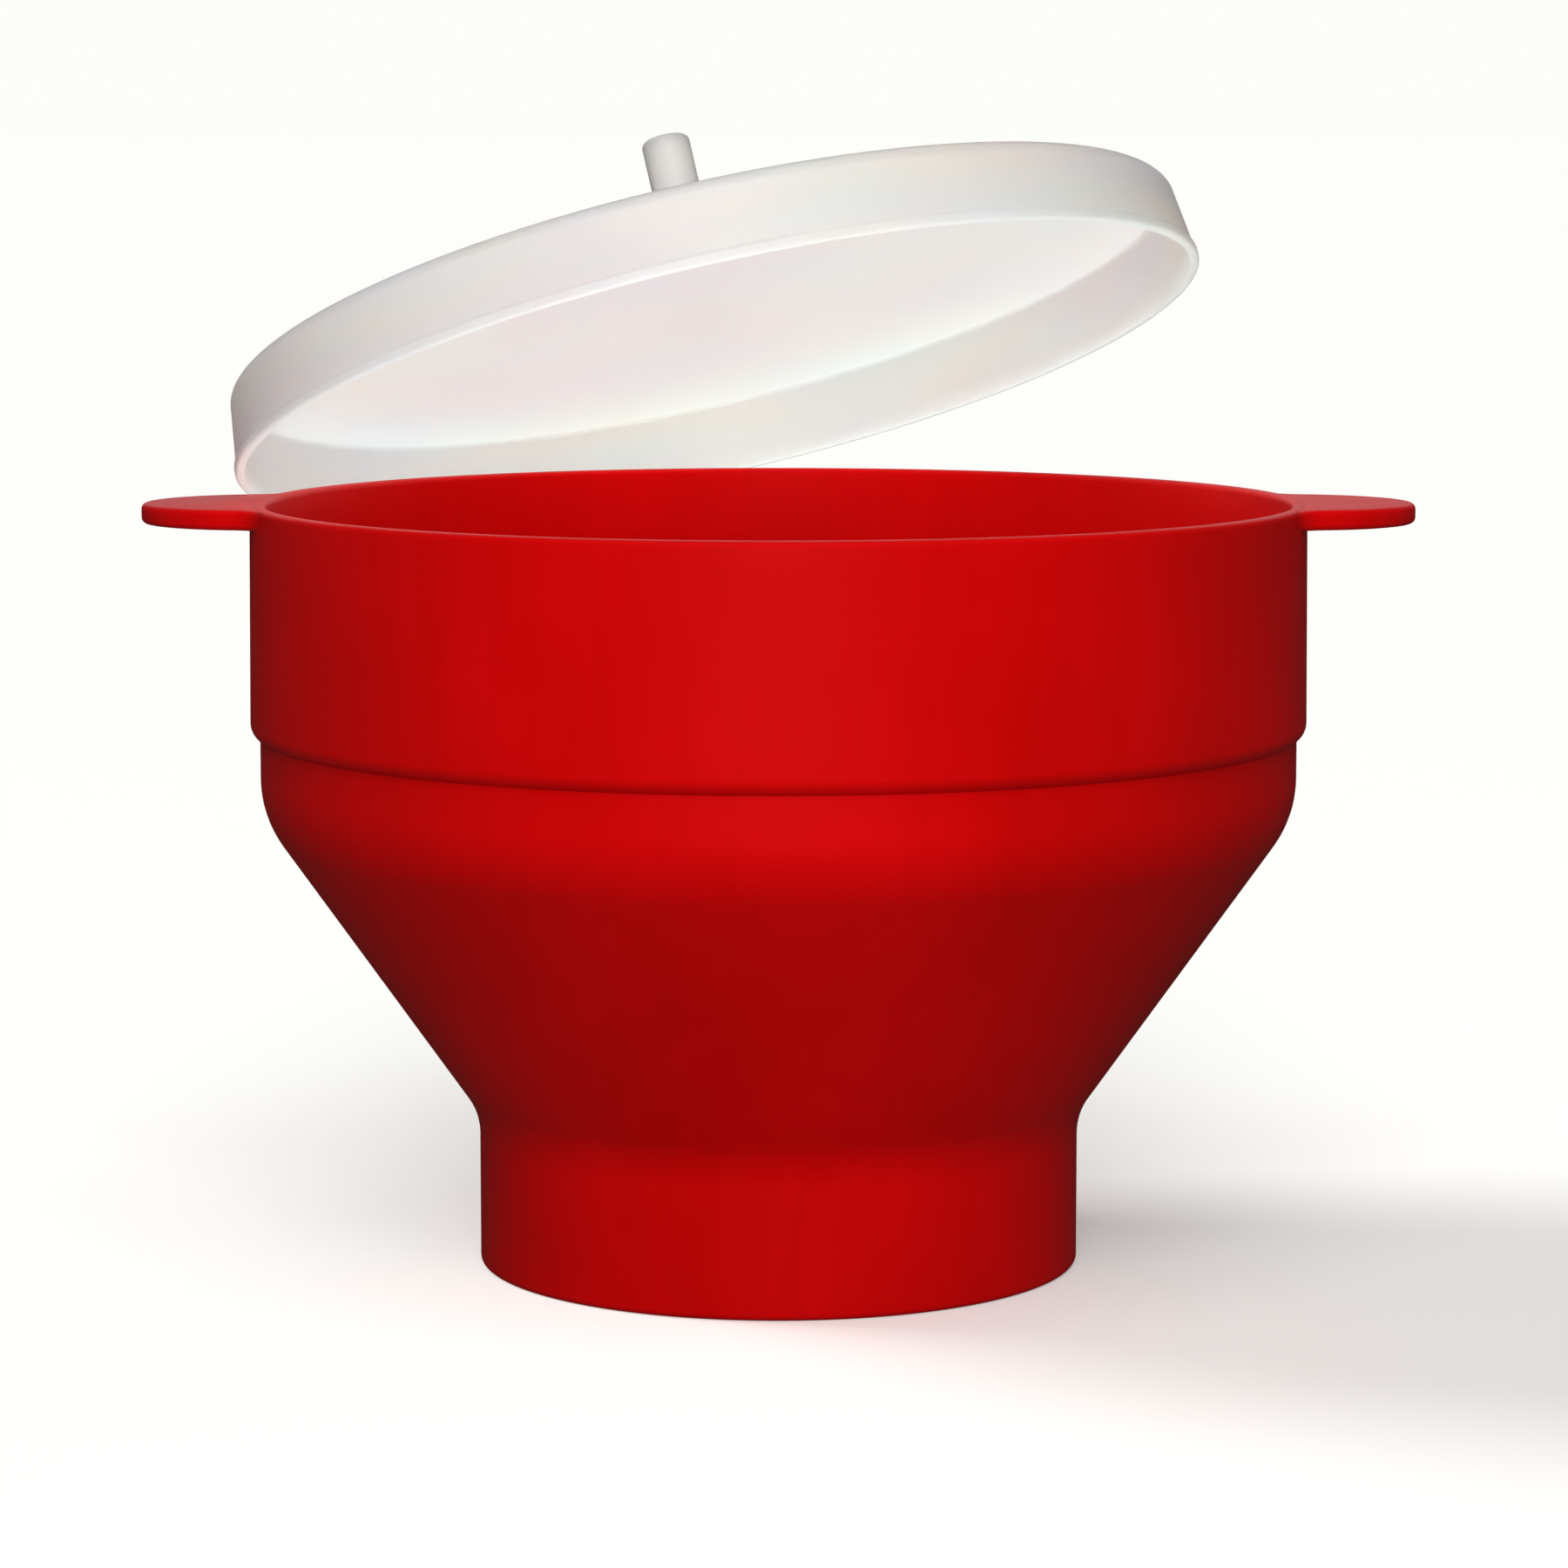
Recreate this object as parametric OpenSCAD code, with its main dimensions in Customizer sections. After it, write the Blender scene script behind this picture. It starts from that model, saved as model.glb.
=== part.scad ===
// Collapsible silicone popcorn bowl with a loose lid.
// The origin is the centre of the base, +Z is up, and the handles lie along X.

/* [Bowl] */
// Height from the table to the top of the lip
bowl_h = 145; // [125:1:170]
// Outer diameter of the rim band at the lip
rim_d = 198.6; // [170:0.2:240]
// Height of the rim band, from its widest point up to the lip
band_h = 41; // [30:1:50]
// How much further out the band stands at its foot than at the lip
band_draft = 0.3; // [0:0.1:1]
// Thickness of the rim band and of the lip
band_wall = 3; // [2.5:0.1:4]
// Rounding of the lip
lip_round = 1.1; // [0.5:0.1:1.2]
// Rounding under the foot of the band
band_foot_round = 3; // [2:0.1:4]

/* [Folding wall] */
// How much further in the shoulder stands than the foot of the band
shoulder_step = 1.8; // [1:0.1:2]
// Drop from the widest point of the band to where the shoulder's side and the cone would meet
shoulder_drop = 17.2; // [12:0.1:22]
// Thickness of the folding wall
wall = 2.4; // [1.8:0.1:3]
// Outer radius of the curve from the cone into the shoulder
shoulder_round = 21; // [12:0.5:24]
// Outer radius of the curve from the base cup into the cone
neck_round = 14; // [8:0.5:20]
// Height of the neck, where the cup's side and the cone would meet
neck_h = 29; // [24:0.5:36]

/* [Base cup] */
// Outer diameter of the base cup
cup_d = 114; // [90:1:130]
// Thickness of the base cup's side
cup_wall = 3; // [2.5:0.1:4]
// Thickness of the floor
floor_t = 3.5; // [2.5:0.1:5]
// Rounding of the outer edge of the floor
foot_round = 1.2; // [0.5:0.1:2]
// Rounding inside, between the floor and the side
bowl_inner_round = 6; // [3:0.5:10]

/* [Handles] */
// How far a handle reaches out from the lip
handle_reach = 20.7; // [14:0.1:30]
// Width of a handle where it leaves the band
handle_w = 45; // [30:1:60]
// Thickness of a handle
handle_t = 4; // [3:0.1:6]
// Rounding of a handle's edges
handle_round = 1.2; // [0.5:0.1:1.4]

/* [Collapse] */
// Height above the neck at which the wall starts to turn inside out
fold_rise = 25; // [20:1:31]
// Number of rings that stand for the part of the wall that turns inside out
fold_rings = 4; // [3:1:5]
// Radial gap between neighbouring rings
fold_gap = 0.3; // [0.2:0.05:0.5]

/* [Lid] */
// Radial clearance between the skirt's lower edge and the inside of the band
lid_gap = 1.9; // [0.8:0.1:4]
// Height of the lid, from the skirt's lower edge to the flat top
lid_h = 15.9; // [10:0.1:20]
// How much narrower the skirt is under the flat top than at its lower edge
lid_taper = 1.8; // [1:0.1:5]
// Thickness of the flat top and the skirt
lid_wall = 1.8; // [1.2:0.1:2.4]
// Outer rounding between the flat top and the skirt
lid_round = 2.9; // [2.5:0.1:5]
// How far the bead at the skirt's lower edge stands out
lid_bead = 0.5; // [0.3:0.1:0.9]
// Height of the bead
lid_bead_h = 2.4; // [1.5:0.1:4]
// Diameter of the knob
knob_d = 9.3; // [8:0.1:16]
// Height of the knob above the flat top
knob_h = 32.5; // [15:0.5:40]
// Rounding of the knob's top edge
knob_round = 1.4; // [0.5:0.1:3]

/* [Open lid] */
// Angle at which the open lid leans
lid_tilt = 19.6; // [10:0.1:26]
// Direction of its low side, counted from +X towards +Y
lid_lean = 131.5; // [125:0.5:140]
// How far its low side stands out past the lip
lid_out = 12.1; // [9:0.1:16]
// How far it is moved sideways, across the lean
lid_side = 4.8; // [0:0.1:8]
// Height of the skirt's lower edge above the left handle's rear corner
lid_rest_gap = 0.7; // [0.4:0.1:3]

/* [Hidden] */

$fn = 128;
arc_steps = 10;
overcut = 1;
silicone_red = "#C80404";
frosted = [0.86, 0.85, 0.84, 0.6];

rim_r = rim_d / 2;
band_foot_r = rim_r + band_draft;
band_inner_r = rim_r - band_wall;
band_foot_z = bowl_h - band_h;
shoulder_r = band_foot_r - shoulder_step;
shoulder_inner_r = shoulder_r - wall;
cup_r = cup_d / 2;
cup_inner_r = cup_r - cup_wall;

// The cone runs from the cup's side at the neck's height to the shoulder's side
shoulder_z = band_foot_z - shoulder_drop;
cone_slope = (shoulder_r - cup_r) / (shoulder_z - neck_h);
cone_angle = atan(cone_slope);
neck_run = neck_round * tan(cone_angle / 2);
shoulder_run = shoulder_round * tan(cone_angle / 2);
neck_low = neck_h - neck_run;
shoulder_top = shoulder_z + shoulder_run;

// Where the underside of the band meets the shoulder
step_z = band_foot_z - sqrt(pow(band_foot_round, 2) - pow(band_foot_round - shoulder_step, 2));

// Radii of the cylinders that divide the folding wall
fold_first_r = cup_r + fold_rise * cone_slope;
fold_last_r = shoulder_inner_r;
fold_step = (fold_last_r - fold_first_r) / fold_rings;

// Each handle is a round tab with its middle near the band
handle_r = (pow(handle_w / 2, 2) + pow(handle_reach, 2)) / (2 * handle_reach);
handle_x = rim_r + handle_reach - handle_r;

// The lid fits inside the band
lid_r = band_inner_r - lid_gap;
knob_r = knob_d / 2;

// Where the middle of the open lid's lower edge is: its low side hooks over the lip behind
// the left handle, and the edge passes just above that handle's rear corner
lean = [cos(lid_lean), sin(lid_lean)];
across = [-sin(lid_lean), cos(lid_lean)];
lid_xy = (rim_r + lid_out - lid_r * cos(lid_tilt)) * lean + lid_side * -across;
handle_corner = [-rim_r, handle_w / 2];
lid_z = bowl_h + lid_rest_gap + tan(lid_tilt) * ((handle_corner - lid_xy) * lean);

// Points of an arc about (r, z), from angle a to angle b
function arc(r, z, radius, a, b) = [
    for (i = [0:arc_steps])
        let (t = a + (b - a) * i / arc_steps)
        [r + radius * cos(t), z + radius * sin(t)]
];

// Outer side of the folding wall, upwards; inset moves it in by a wall's thickness
function wall_side(inset) = concat(
    arc(cup_r + neck_round, neck_low, neck_round + inset, 180, 180 - cone_angle),
    arc(shoulder_r - shoulder_round, shoulder_top, shoulder_round - inset, -cone_angle, 0)
);

function reversed(points) = [for (i = [len(points) - 1:-1:0]) points[i]];

// The whole folding wall, from the base cup's top up to the band's step
module folding_wall() {
    rotate_extrude()
        polygon(concat(
            wall_side(0),
            [[shoulder_r, step_z], [shoulder_inner_r, step_z]],
            reversed(wall_side(wall))
        ));
}

// An upright tube, for dividing the wall
module tube(inner_r, outer_r) {
    difference() {
        cylinder(r = outer_r, h = bowl_h);
        translate([0, 0, -overcut])
            cylinder(r = inner_r, h = bowl_h + 2 * overcut);
    }
}

module base_cup() {
    color(silicone_red)
        rotate_extrude()
            polygon(concat(
                [[0, 0]],
                arc(cup_r - foot_round, foot_round, foot_round, -90, 0),
                [[cup_r, neck_low], [cup_r - wall, neck_low], [cup_inner_r, neck_low - overcut]],
                arc(cup_inner_r - bowl_inner_round, floor_t + bowl_inner_round, bowl_inner_round, 0, -90),
                [[0, floor_t]]
            ));
}

module neck_cone() {
    color(silicone_red)
        intersection() {
            folding_wall();
            cylinder(r = fold_first_r - fold_gap / 2, h = bowl_h);
        }
}

// One ring of the folding wall, counted from the inside
module fold_ring(i) {
    inner_r = fold_first_r + (i - 1) * fold_step + fold_gap / 2;
    outer_r = fold_first_r + i * fold_step - fold_gap / 2;
    color(silicone_red)
        intersection() {
            folding_wall();
            tube(inner_r, outer_r);
        }
}

module shoulder() {
    color(silicone_red)
        intersection() {
            folding_wall();
            tube(fold_last_r + fold_gap / 2, shoulder_r + overcut);
        }
}

module rim_band() {
    foot_start = acos((band_foot_round - shoulder_step) / band_foot_round);
    color(silicone_red)
        rotate_extrude()
            polygon(concat(
                [[shoulder_inner_r, step_z]],
                arc(band_foot_r - band_foot_round, band_foot_z, band_foot_round, -foot_start, 0),
                arc(rim_r - lip_round, bowl_h - lip_round, lip_round, 0, 90),
                arc(band_inner_r + lip_round, bowl_h - lip_round, lip_round, 90, 180),
                [[band_inner_r, band_foot_z], [shoulder_inner_r, step_z + (band_inner_r - shoulder_inner_r)]]
            ));
}

// The side of the band as a solid cone, which a handle ends at
module band_side() {
    slope = band_draft / (band_h - lip_round);
    translate([0, 0, band_foot_z])
        cylinder(r1 = band_foot_r, r2 = band_foot_r - slope * (band_h + overcut), h = band_h + overcut);
}

// A flat tab level with the lip, on the +X side
module handle() {
    color(silicone_red)
        difference() {
            translate([handle_x, 0, bowl_h - handle_t])
                rotate_extrude()
                    polygon(concat(
                        [[0, 0]],
                        arc(handle_r - handle_round, handle_round, handle_round, -90, 0),
                        arc(handle_r - handle_round, handle_t - handle_round, handle_round, 0, 90),
                        [[0, handle_t]]
                    ));
            band_side();
        }
}

module handle_right() {
    handle();
}

module handle_left() {
    mirror([1, 0, 0])
        handle();
}

// Puts a piece of the lid where the open lid leans
module open_lid() {
    translate([lid_xy[0], lid_xy[1], lid_z])
        rotate(a = lid_tilt, v = [across[0], across[1], 0])
            children();
}

module lid_cover() {
    skirt_r = lid_r - lid_bead;
    top_r = lid_r - lid_taper;
    color(frosted)
        open_lid()
            rotate_extrude()
                polygon(concat(
                    [[skirt_r - lid_wall, 0]],
                    arc(lid_r - lid_bead, lid_bead, lid_bead, -90, 0),
                    [[lid_r, lid_bead_h - lid_bead], [skirt_r, lid_bead_h]],
                    arc(top_r - lid_round, lid_h - lid_round, lid_round, 0, 90),
                    [[0, lid_h], [0, lid_h - lid_wall]],
                    arc(top_r - lid_round, lid_h - lid_round, lid_round - lid_wall, 90, 0)
                ));
}

module lid_knob() {
    color(frosted)
        open_lid()
            translate([0, 0, lid_h])
                rotate_extrude()
                    polygon(concat(
                        [[0, 0], [knob_r, 0]],
                        arc(knob_r - knob_round, knob_h - knob_round, knob_round, 0, 90),
                        [[0, knob_h]]
                    ));
}

base_cup();
neck_cone();
for (i = [1:fold_rings])
    fold_ring(i);
shoulder();
rim_band();
handle_left();
handle_right();
lid_cover();
lid_knob();
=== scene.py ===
"""Popcorn maker: a collapsible silicone bowl with its frosted lid leaning open.

Everything is in metres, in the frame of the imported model: the bowl stands on z = 0 with its axis
on the origin, its handles along X and its front towards -Y.
"""

import math

import bpy
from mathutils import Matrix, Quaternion, Vector


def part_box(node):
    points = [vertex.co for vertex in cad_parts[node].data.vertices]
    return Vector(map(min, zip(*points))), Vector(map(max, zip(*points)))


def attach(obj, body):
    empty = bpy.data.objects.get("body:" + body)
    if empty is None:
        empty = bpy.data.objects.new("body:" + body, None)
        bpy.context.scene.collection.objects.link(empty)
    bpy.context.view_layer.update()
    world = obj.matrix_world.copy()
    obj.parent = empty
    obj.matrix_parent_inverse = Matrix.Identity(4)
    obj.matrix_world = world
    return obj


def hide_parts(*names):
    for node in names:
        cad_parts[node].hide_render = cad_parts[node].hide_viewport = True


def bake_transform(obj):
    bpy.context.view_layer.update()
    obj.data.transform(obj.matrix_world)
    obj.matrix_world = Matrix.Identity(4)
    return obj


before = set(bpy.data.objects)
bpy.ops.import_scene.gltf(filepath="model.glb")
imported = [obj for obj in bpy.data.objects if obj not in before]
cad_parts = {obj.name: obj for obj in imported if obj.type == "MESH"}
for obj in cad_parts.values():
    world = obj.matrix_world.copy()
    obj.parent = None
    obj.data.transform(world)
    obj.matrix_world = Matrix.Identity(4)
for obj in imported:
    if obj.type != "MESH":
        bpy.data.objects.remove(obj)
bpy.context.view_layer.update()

MM = 0.001

# Sizes read from the frame
BAND_LOW, BAND_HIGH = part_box("rim_band")
CUP_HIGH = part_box("base_cup")[1]
SHOULDER_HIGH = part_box("shoulder")[1]
HANDLE_LOW, HANDLE_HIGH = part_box("handle_right")

RIM_Z = BAND_HIGH.z
STEP_Z = BAND_LOW.z
BAND_FOOT_R = BAND_HIGH.x
SHOULDER_R = SHOULDER_HIGH.x
CUP_R = CUP_HIGH.x
NECK_LOW = CUP_HIGH.z

# Sizes of the design that the boxes don't give
BAND_DRAFT = 0.3 * MM
BAND_WALL = 3 * MM
BAND_H = 41 * MM
FOLD_WALL = 2.4 * MM
CUP_WALL = 3 * MM
FLOOR = 3.5 * MM
NECK_Z = 29 * MM
SHOULDER_DROP = 17.2 * MM
SHOULDER_ROUND = 21 * MM
NECK_ROUND = 14 * MM
BAND_FOOT_ROUND = 3 * MM
LIP_ROUND = 1.1 * MM
LIP_CREASE = 0.2 * MM
HANDLE_ROUND = 1.2 * MM
HANDLE_ROOT = 7 * MM

LID_R = 94.4 * MM
LID_H = 15.9 * MM
LID_WALL = 1.8 * MM
LID_TAPER = 1.8 * MM
LID_ROUND = 2.9 * MM
LID_BEAD = 0.5 * MM
LID_BEAD_H = 2.4 * MM
BEAD_ROUND = 0.7 * MM
KNOB_R = 4.65 * MM
KNOB_H = 32.5 * MM
KNOB_ROUND = 1.4 * MM
LID_TILT = math.radians(19.6)
LID_LEAN = math.radians(131.5)  # the way the low side points, from +X
LID_FOOT = Vector((-0.011294, 0.020009, 0.167129))  # middle of the open lid's lower edge

TURNS = 192  # flat faces round a turned piece
WELD = 0.005 * MM
SKIN = 0.05 * MM  # depth of the fine grain


# ---------------------------------------------------------------- modelling

def deselect_all():
    """Nothing is selected and nothing is active."""
    for obj in bpy.context.selected_objects:
        obj.select_set(False)
    bpy.context.view_layer.objects.active = None


def arc(r, z, radius, start, end, steps=8):
    """Points of an arc about (r, z), from angle start to angle end in degrees."""
    points = []
    for i in range(steps + 1):
        angle = math.radians(start + (end - start) * i / steps)
        points.append((r + radius * math.cos(angle), z + radius * math.sin(angle)))
    return points


def divided(outline, longest):
    """The same outline with every long straight stretch cut into short ones."""
    points = [outline[0]]
    for here, there in zip(outline, outline[1:]):
        pieces = max(1, math.ceil(math.dist(here, there) / longest))
        for i in range(1, pieces + 1):
            share = i / pieces
            points.append(tuple(a + (b - a) * share for a, b in zip(here, there)))
    return points


def drawn(name, points, closed):
    """One vertex drawn out along the points. Leaves the piece in edit mode, all selected."""
    deselect_all()
    bpy.ops.mesh.primitive_plane_add(size=MM)
    obj = bpy.context.object
    obj.name = obj.data.name = name
    bpy.ops.object.mode_set(mode="EDIT")
    bpy.ops.mesh.select_mode(type="VERT")
    bpy.ops.mesh.select_all(action="SELECT")
    bpy.ops.mesh.merge(type="CENTER")
    bpy.ops.transform.translate(value=points[0])
    if closed:
        points = points + [points[0]]
    for here, there in zip(points, points[1:]):
        step = tuple(b - a for a, b in zip(here, there))
        bpy.ops.mesh.extrude_region_move(TRANSFORM_OT_translate={"value": step})
    bpy.ops.mesh.select_all(action="SELECT")
    bpy.ops.mesh.remove_doubles(threshold=WELD)
    return obj


def finished(obj):
    """Ends the modelling of a piece: doubles welded, faces outwards, smooth but for hard edges."""
    bpy.ops.mesh.select_all(action="SELECT")
    bpy.ops.mesh.remove_doubles(threshold=WELD)
    bpy.ops.mesh.normals_make_consistent(inside=False)
    bpy.ops.object.mode_set(mode="OBJECT")
    bpy.ops.object.shade_smooth_by_angle(angle=math.radians(40))
    return obj


def turned(name, outline, closed=False):
    """A piece turned about Z from an outline of radii and heights."""
    obj = drawn(name, [(r, 0, z) for r, z in outline], closed)
    bpy.ops.mesh.spin(steps=TURNS, angle=math.tau, center=(0, 0, 0), axis=(0, 0, 1))
    return finished(obj)


def apply_place(obj):
    """Puts the object's place and turn into its mesh."""
    deselect_all()
    obj.select_set(True)
    bpy.context.view_layer.objects.active = obj
    bpy.ops.object.transform_apply(location=True, rotation=True, scale=True)


# ---------------------------------------------------------------- bowl

def wall_side(inset):
    """The folding wall's outline, upwards, moved in by inset."""
    shoulder_z = RIM_Z - BAND_H - SHOULDER_DROP
    slope = math.atan2(SHOULDER_R - CUP_R, shoulder_z - NECK_Z)
    neck_low = NECK_Z - NECK_ROUND * math.tan(slope / 2)
    shoulder_top = shoulder_z + SHOULDER_ROUND * math.tan(slope / 2)
    turn = math.degrees(slope)
    neck = arc(CUP_R + NECK_ROUND, neck_low, NECK_ROUND + inset, 180, 180 - turn, 14)
    shoulder = arc(SHOULDER_R - SHOULDER_ROUND, shoulder_top, SHOULDER_ROUND - inset, -turn, 0, 18)
    return neck + shoulder


def make_bowl_wall():
    """Base cup, folding wall and shoulder: one smooth moulding."""
    foot_round = 1.2 * MM
    inner_round = 6 * MM
    cup_inner_r = CUP_R - CUP_WALL
    outside = [(0, 0)] + arc(CUP_R - foot_round, foot_round, foot_round, -90, 0)
    outside += wall_side(0) + [(SHOULDER_R, STEP_Z)]
    inside = [(SHOULDER_R - FOLD_WALL, STEP_Z)] + wall_side(FOLD_WALL)[::-1]
    inside += [(cup_inner_r, NECK_LOW - MM)]
    inside += arc(cup_inner_r - inner_round, FLOOR + inner_round, inner_round, 0, -90)
    inside += [(0, FLOOR)]
    return turned("bowl_wall", divided(outside + inside, 1.6 * MM))


def make_rim_band():
    """The straight band with its lower step and the lip."""
    inner_r = BAND_FOOT_R - BAND_DRAFT - BAND_WALL
    lip_r = BAND_FOOT_R - BAND_DRAFT
    foot_z = RIM_Z - BAND_H
    foot_middle = BAND_FOOT_R - BAND_FOOT_ROUND
    start = math.degrees(math.acos((SHOULDER_R - foot_middle) / BAND_FOOT_ROUND))
    step_in = inner_r - (SHOULDER_R - FOLD_WALL)
    outline = [(SHOULDER_R - FOLD_WALL, STEP_Z)]
    outline += arc(foot_middle, foot_z, BAND_FOOT_ROUND, -start, 0)
    outline += arc(lip_r - LIP_ROUND, RIM_Z - LIP_ROUND, LIP_ROUND, 0, 90)
    outline += arc(inner_r + LIP_ROUND, RIM_Z - LIP_ROUND, LIP_ROUND, 90, 180)
    outline += [(inner_r, foot_z), (SHOULDER_R - FOLD_WALL, STEP_Z + step_in)]
    return turned("rim_wall", divided(outline, 4 * MM), closed=True)


def handle_outline():
    """The right handle from above: a round tab that flows into the band on both sides."""
    band_r = BAND_FOOT_R - BAND_DRAFT
    root_r = band_r - LIP_ROUND
    reach = HANDLE_HIGH.x - band_r
    half_w = HANDLE_HIGH.y
    tab_r = (half_w ** 2 + reach ** 2) / (2 * reach)
    tab_x = HANDLE_HIGH.x - tab_r
    # The middle of the round root, which touches both the tab's circle and the band's
    middle_x = ((band_r + HANDLE_ROOT) ** 2 - (tab_r + HANDLE_ROOT) ** 2 + tab_x ** 2) / (2 * tab_x)
    middle_y = math.sqrt((band_r + HANDLE_ROOT) ** 2 - middle_x ** 2)
    band_turn = math.degrees(math.atan2(middle_y, middle_x))
    tab_turn = math.degrees(math.atan2(middle_y, middle_x - tab_x))
    rear = arc(middle_x, middle_y, HANDLE_ROOT, 180 + tab_turn, 180 + band_turn)
    tab = arc(tab_x, 0, tab_r, -tab_turn, tab_turn, 48)
    front = [(x, -y) for x, y in rear[::-1]]
    return front + tab[1:-1] + rear + arc(0, 0, root_r, band_turn, -band_turn, 24)


def make_handles():
    """The right handle, just under the lip and with rounded edges, and its mirrored copy."""
    low, high = HANDLE_LOW.z, RIM_Z - LIP_CREASE
    right = drawn("tab_right", [(x, y, low) for x, y in handle_outline()], True)
    bpy.ops.mesh.edge_face_add()
    bpy.ops.mesh.extrude_region_move(TRANSFORM_OT_translate={"value": (0, 0, high - low)})
    bpy.ops.mesh.select_mode(type="EDGE")
    bpy.ops.mesh.select_all(action="DESELECT")
    bpy.ops.object.mode_set(mode="OBJECT")
    # Picks the level edges outside the band, which the bevel rounds
    points = right.data.vertices
    for edge in right.data.edges:
        a, b = (points[i].co for i in edge.vertices)
        outside = ((a + b) / 2).xy.length > BAND_FOOT_R - BAND_DRAFT - 0.5 * LIP_ROUND
        edge.select = outside and abs(a.z - b.z) < WELD
    bpy.ops.object.mode_set(mode="EDIT")
    bpy.ops.mesh.bevel(offset=HANDLE_ROUND, segments=6, affect="EDGES", clamp_overlap=True)
    finished(right)
    deselect_all()
    right.select_set(True)
    bpy.context.view_layer.objects.active = right
    bpy.ops.object.duplicate()
    left = bpy.context.object
    left.name = left.data.name = "tab_left"
    left.scale.x = -1
    apply_place(left)
    bpy.ops.object.mode_set(mode="EDIT")
    return right, finished(left)


# ---------------------------------------------------------------- lid

def lid_turn():
    """The open lid's turn, about the level line across its lean."""
    across = Vector((-math.sin(LID_LEAN), math.cos(LID_LEAN), 0))
    return Quaternion(across, LID_TILT)


def lean_open(obj):
    """Moves a piece of the lid from its own upright frame to where the open lid leans."""
    obj.rotation_mode = "QUATERNION"
    obj.rotation_quaternion = lid_turn()
    obj.location = LID_FOOT
    apply_place(obj)
    obj.rotation_mode = "XYZ"
    return obj


def make_lid_cover():
    """Flat top and skirt in one wall, with a bead along the skirt's lower edge."""
    skirt_r = LID_R - LID_BEAD
    corner_r = LID_R - LID_TAPER - LID_ROUND
    corner_z = LID_H - LID_ROUND
    outline = [(0, LID_H - LID_WALL)]
    outline += arc(corner_r, corner_z, LID_ROUND - LID_WALL, 90, 0)
    inside_corner = 0.4 * MM
    inside_r = skirt_r - LID_WALL
    bead_middle = LID_R - BEAD_ROUND
    outline += [(inside_r + inside_corner, inside_corner), (inside_r + BEAD_ROUND, 0)]
    outline += arc(bead_middle, BEAD_ROUND, BEAD_ROUND, -90, 0)
    outline += arc(bead_middle, LID_BEAD_H - 0.9 * MM, BEAD_ROUND, 0, 50)
    outline += [(skirt_r, LID_BEAD_H + 0.2 * MM)]
    outline += arc(corner_r, corner_z, LID_ROUND, 0, 90, 12)
    outline += [(0, LID_H)]
    return lean_open(turned("lid_shell", divided(outline, 4 * MM)))


def make_knob():
    """The round peg in the middle of the lid, with a small fillet at its foot."""
    fillet = 0.8 * MM
    outline = [(0, LID_H - LID_WALL / 2), (KNOB_R + fillet, LID_H - LID_WALL / 2)]
    outline += arc(KNOB_R + fillet, LID_H + fillet, fillet, -90, -180)
    outline += arc(KNOB_R - KNOB_ROUND, LID_H + KNOB_H - KNOB_ROUND, KNOB_ROUND, 0, 90)
    outline += [(0, LID_H + KNOB_H)]
    return lean_open(turned("lid_peg", outline))


# ---------------------------------------------------------------- materials

class Socket:
    """A shader socket that Python's operators work on."""

    def __init__(self, tree, link):
        self.tree = tree
        self.link = link

    def node(self, kind, settings=None, output=0, **sockets):
        """Adds a node, sets its settings, then its sockets, and gives the output asked for."""
        made = self.tree.nodes.new(kind)
        for key, value in (settings or {}).items():
            if key == "stops":
                ramp = made.color_ramp
                while len(ramp.elements) < len(value):
                    ramp.elements.new(0.5)
                for element, (place, colour) in zip(ramp.elements, value):
                    element.position = place
                    element.color = colour
            else:
                setattr(made, key, value)
        for key, value in sockets.items():
            place = int(key[1:]) if key[0] == "i" and key[1:].isdigit() else key.replace("_", " ")
            if isinstance(value, Socket):
                self.tree.links.new(value.link, made.inputs[place])
            else:
                made.inputs[place].default_value = value
        return Socket(self.tree, made.outputs[output])

    def maths(self, operation, other):
        return self.node("ShaderNodeMath", {"operation": operation}, i0=self, i1=other)

    def __add__(self, other):
        return self.maths("ADD", other)

    __radd__ = __add__

    def __mul__(self, other):
        return self.maths("MULTIPLY", other)

    __rmul__ = __mul__

    def __sub__(self, other):
        return self.maths("SUBTRACT", other)

    def __rsub__(self, other):
        return (self * -1.0) + other


def new_material(name, **constants):
    """A material with one Principled shader; constants go straight on its sockets."""
    made = bpy.data.materials.new(name)
    made.use_nodes = True
    shader = made.node_tree.nodes["Principled BSDF"]
    for key, value in constants.items():
        shader.inputs[key.replace("_", " ")].default_value = value
    return made, shader


def feed(shader, **varying):
    """Links sockets that vary to the shader's inputs."""
    for key, value in varying.items():
        value.tree.links.new(value.link, shader.inputs[key.replace("_", " ")])


def coordinates(tree):
    """Object coordinates as a socket."""
    return Socket(tree, tree.nodes.new("ShaderNodeTexCoord").outputs["Object"])


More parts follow.
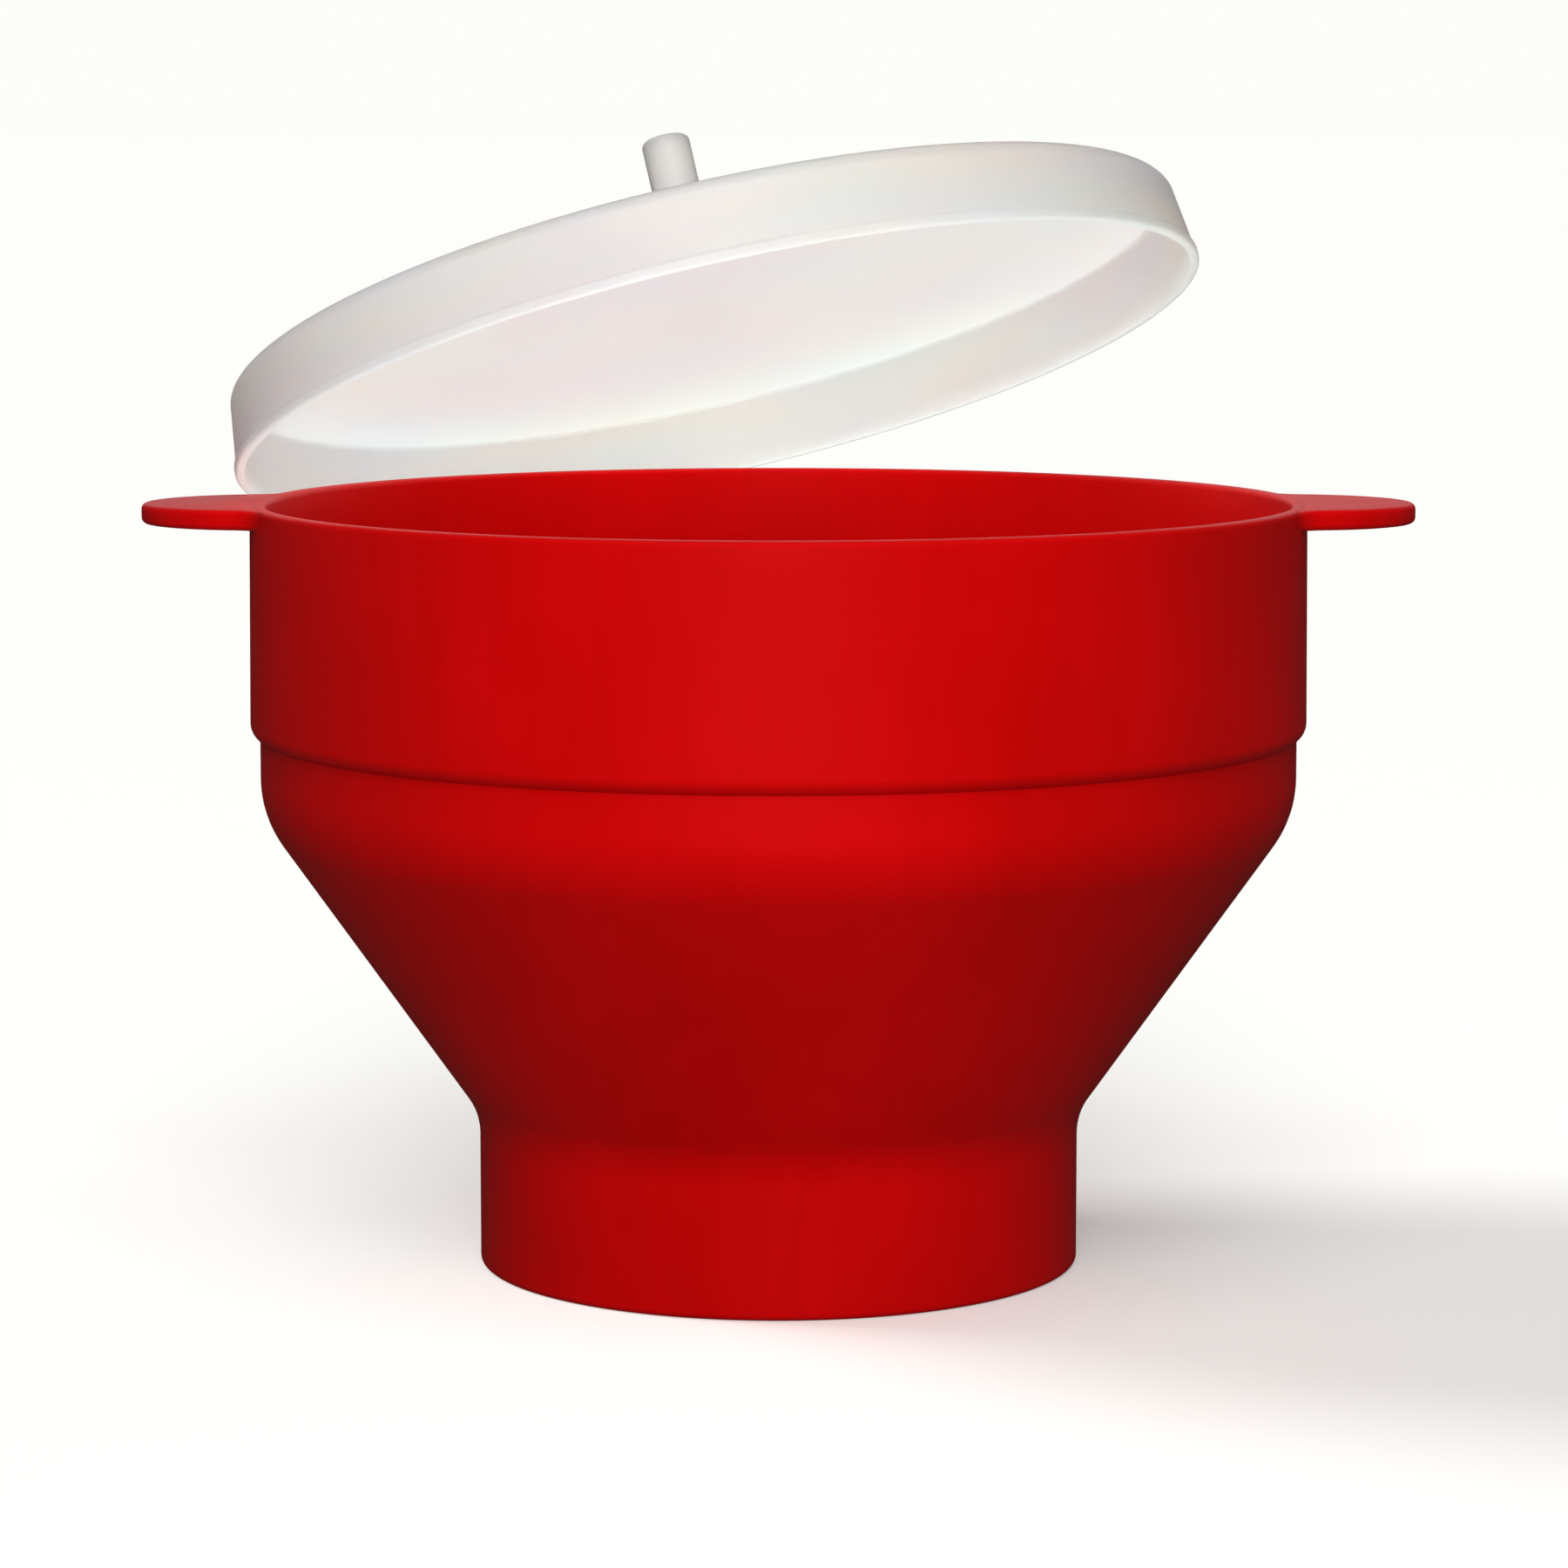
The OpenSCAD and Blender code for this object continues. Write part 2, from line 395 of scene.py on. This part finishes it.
def red_silicone():
    """Satin moulded silicone: deep red, faintly cloudy, with upright flow marks and a fine skin."""
    made, shader = new_material(
        "red_silicone", Specular_IOR_Level=0.16, Specular_Tint=(1, 0.12, 0.12, 1),
    )
    place = coordinates(made.node_tree)
    upright = place.node("ShaderNodeMapping", Vector=place, Scale=(1, 1, 0.12))
    cloud = place.node("ShaderNodeTexNoise", Vector=place, Scale=18.0, Detail=3.0)
    marks = place.node("ShaderNodeTexNoise", Vector=upright, Scale=210.0, Detail=2.0)
    grain = place.node("ShaderNodeTexNoise", Vector=place, Scale=2600.0, Detail=2.0)
    colour = place.node(
        "ShaderNodeValToRGB",
        {"stops": [(0.35, (0.60, 0.0015, 0.0015, 1)), (0.65, (0.70, 0.002, 0.003, 1))]},
        Fac=cloud * 0.8 + marks * 0.2,
    )
    rough = 0.38 + cloud * 0.12 + marks * 0.08
    bump = place.node("ShaderNodeBump", Height=grain + marks * 0.6, Strength=0.06, Distance=SKIN)
    feed(shader, Base_Color=colour, Roughness=rough, Normal=bump)
    return made


def frosted_plastic():
    """Milky frosted plastic: light soaks through the thin wall. Faint warm and cool tints, drawn
    out round the skirt as the moulding flowed."""
    made, shader = new_material(
        "frosted_lid", IOR=1.45, Specular_IOR_Level=0.35, Transmission_Weight=0.4,
        Subsurface_Weight=1.0, Subsurface_Scale=0.006, Subsurface_Radius=(1, 1, 1),
    )
    place = coordinates(made.node_tree)
    own = place.node("ShaderNodeMapping", {"vector_type": "TEXTURE"}, Vector=place,
                     Location=LID_FOOT, Rotation=lid_turn().to_euler(), Scale=(1, 1, 0.2))
    cloud = place.node("ShaderNodeTexNoise", Vector=own, Scale=16.0, Detail=3.0)
    drift = place.node("ShaderNodeTexNoise", {"noise_dimensions": "4D"}, Vector=own, W=3.0,
                       Scale=24.0, Detail=2.0)
    grain = place.node("ShaderNodeTexNoise", Vector=place, Scale=1800.0, Detail=2.0)
    warm = place.node(
        "ShaderNodeValToRGB",
        {"stops": [(0.35, (0.90, 0.81, 0.78, 1)), (0.65, (0.91, 0.85, 0.77, 1))]},
        Fac=cloud,
    )
    cool = place.node(
        "ShaderNodeValToRGB",
        {"stops": [(0.35, (0.84, 0.81, 0.86, 1)), (0.65, (0.83, 0.87, 0.84, 1))]},
        Fac=cloud,
    )
    colour = place.node(
        "ShaderNodeMix", {"data_type": "RGBA"}, output=2,
        Factor=drift * 3.0 - 1.0, i6=warm, i7=cool,
    )
    rough = 0.36 + cloud * 0.18
    bump = place.node("ShaderNodeBump", Height=grain, Strength=0.06, Distance=SKIN)
    feed(shader, Base_Color=colour, Roughness=rough, Normal=bump)
    return made


def dress(obj, material):
    """Gives a piece its material."""
    obj.data.materials.clear()
    obj.data.materials.append(material)


# ---------------------------------------------------------------- camera, floor and light

def make_camera():
    """Looks level across the bowl from a little above its lip."""
    data = bpy.data.cameras.new("camera")
    data.sensor_width = 36
    data.lens = 120.4
    camera = bpy.data.objects.new("camera", data)
    camera.location = (0.00104, -0.988, 0.2139)
    camera.rotation_euler = (math.radians(90 - 7.08), 0, 0)
    bpy.context.scene.collection.objects.link(camera)
    bpy.context.scene.camera = camera


def make_floor():
    """A plain pale floor to the horizon, which throws no light back on the bowl."""
    pale = new_material(
        "floor", Roughness=0.9, Specular_IOR_Level=0.0, Base_Color=(0.86, 0.86, 0.84, 1),
        Emission_Color=(1, 1, 0.97, 1), Emission_Strength=0.28,
    )[0]
    deselect_all()
    bpy.ops.mesh.primitive_plane_add(size=400, location=(0, 0, 0))
    floor = bpy.context.object
    floor.name = "floor"
    floor.data.materials.append(pale)
    floor.visible_diffuse = False
    floor.visible_glossy = False
    return floor


def make_surround():
    """A surround that shows white, lights the bowl dimly and is dimmest in reflections."""
    world = bpy.data.worlds.new("surround")
    world.use_nodes = True
    tree = world.node_tree
    background = tree.nodes["Background"]
    background.inputs["Color"].default_value = (1, 1, 0.975, 1)
    path = tree.nodes.new("ShaderNodeLightPath")
    seen = Socket(tree, path.outputs["Is Camera Ray"])
    seen += Socket(tree, path.outputs["Is Transmission Ray"])
    mirrored = Socket(tree, path.outputs["Is Glossy Ray"])
    strength = seen * 0.84 + 0.14 - mirrored * 0.1
    tree.links.new(strength.link, background.inputs["Strength"])
    bpy.context.scene.world = world


def add_lamp(name, data, only=None, shade=True):
    """Puts a lamp in the scene. With only, it lights those pieces alone; with shade off, nothing
    but them stands in its way."""
    lamp = bpy.data.objects.new(name, data)
    lamp.visible_camera = False
    bpy.context.scene.collection.objects.link(lamp)
    if only:
        lit = bpy.data.collections.new(name + "_lit")
        for piece in only:
            lit.objects.link(piece)
        lamp.light_linking.receiver_collection = lit
        if not shade:
            lamp.light_linking.blocker_collection = lit
    return lamp


def soft_sun(name, elevation, turn, strength, spread, **linking):
    """A wide soft light; turn swings it from the front round to the right."""
    data = bpy.data.lights.new(name, "SUN")
    data.energy = strength * math.pi
    data.angle = math.radians(spread)
    lamp = add_lamp(name, data, **linking)
    lamp.rotation_euler = (math.radians(90 - elevation), 0, math.radians(turn))


def soft_box(name, place, target, size, power, spread=180, colour=(1, 1, 1), **linking):
    """A square soft box that faces the target."""
    data = bpy.data.lights.new(name, "AREA")
    data.size = size
    data.energy = power
    data.spread = math.radians(spread)
    data.color = colour
    lamp = add_lamp(name, data, **linking)
    lamp.location = place
    lamp.rotation_euler = (Vector(target) - Vector(place)).to_track_quat("-Z", "Y").to_euler()


def make_light(floor, bowl, lid):
    """Soft lamps in front and a weak one behind; one is for the floor alone, two for the lid."""
    soft_sun("middle", 40, 0, 0.28, 30)
    soft_sun("high", 65, 0, 0.20, 40)
    soft_sun("behind", 35, 180, 0.2, 60, only=bowl)
    soft_sun("floor_only", 32, -108, 0.6, 24, only=[floor])
    soft_box("front", (0, -0.9, 0.24), (0, 0, 0.13), 0.3, 0.2, spread=34)
    soft_box("under_lid", (0.066, -0.068, -0.15), (0, 0.02, 0.18), 0.3, 2.3,
             colour=(0.82, 1, 0.98), only=lid, shade=False)
    soft_box("lid_front", (-0.2, -0.9, 0.4), (0, 0, 0.2), 0.4, 0.62, only=lid)
    bpy.context.scene.view_settings.view_transform = "Standard"


make_camera()
floor = make_floor()
make_surround()

silicone = red_silicone()
frosted = frosted_plastic()

bowl = make_bowl_wall()
dress(bowl, silicone)
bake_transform(bowl)
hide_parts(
    "base_cup", "neck_cone", "fold_ring_1", "fold_ring_2", "fold_ring_3", "fold_ring_4",
    "shoulder",
)

band = make_rim_band()
dress(band, silicone)
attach(band, "rim")
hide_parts("rim_band")

tabs = make_handles()
for tab, node in zip(tabs, ("handle_right", "handle_left")):
    dress(tab, silicone)
    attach(tab, "rim")
    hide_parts(node)

cover = make_lid_cover()
dress(cover, frosted)
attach(cover, "lid")
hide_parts("lid_cover")

knob = make_knob()
dress(knob, frosted)
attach(knob, "lid")
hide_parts("lid_knob")

make_light(floor, [bowl, band, *tabs], [cover, knob])
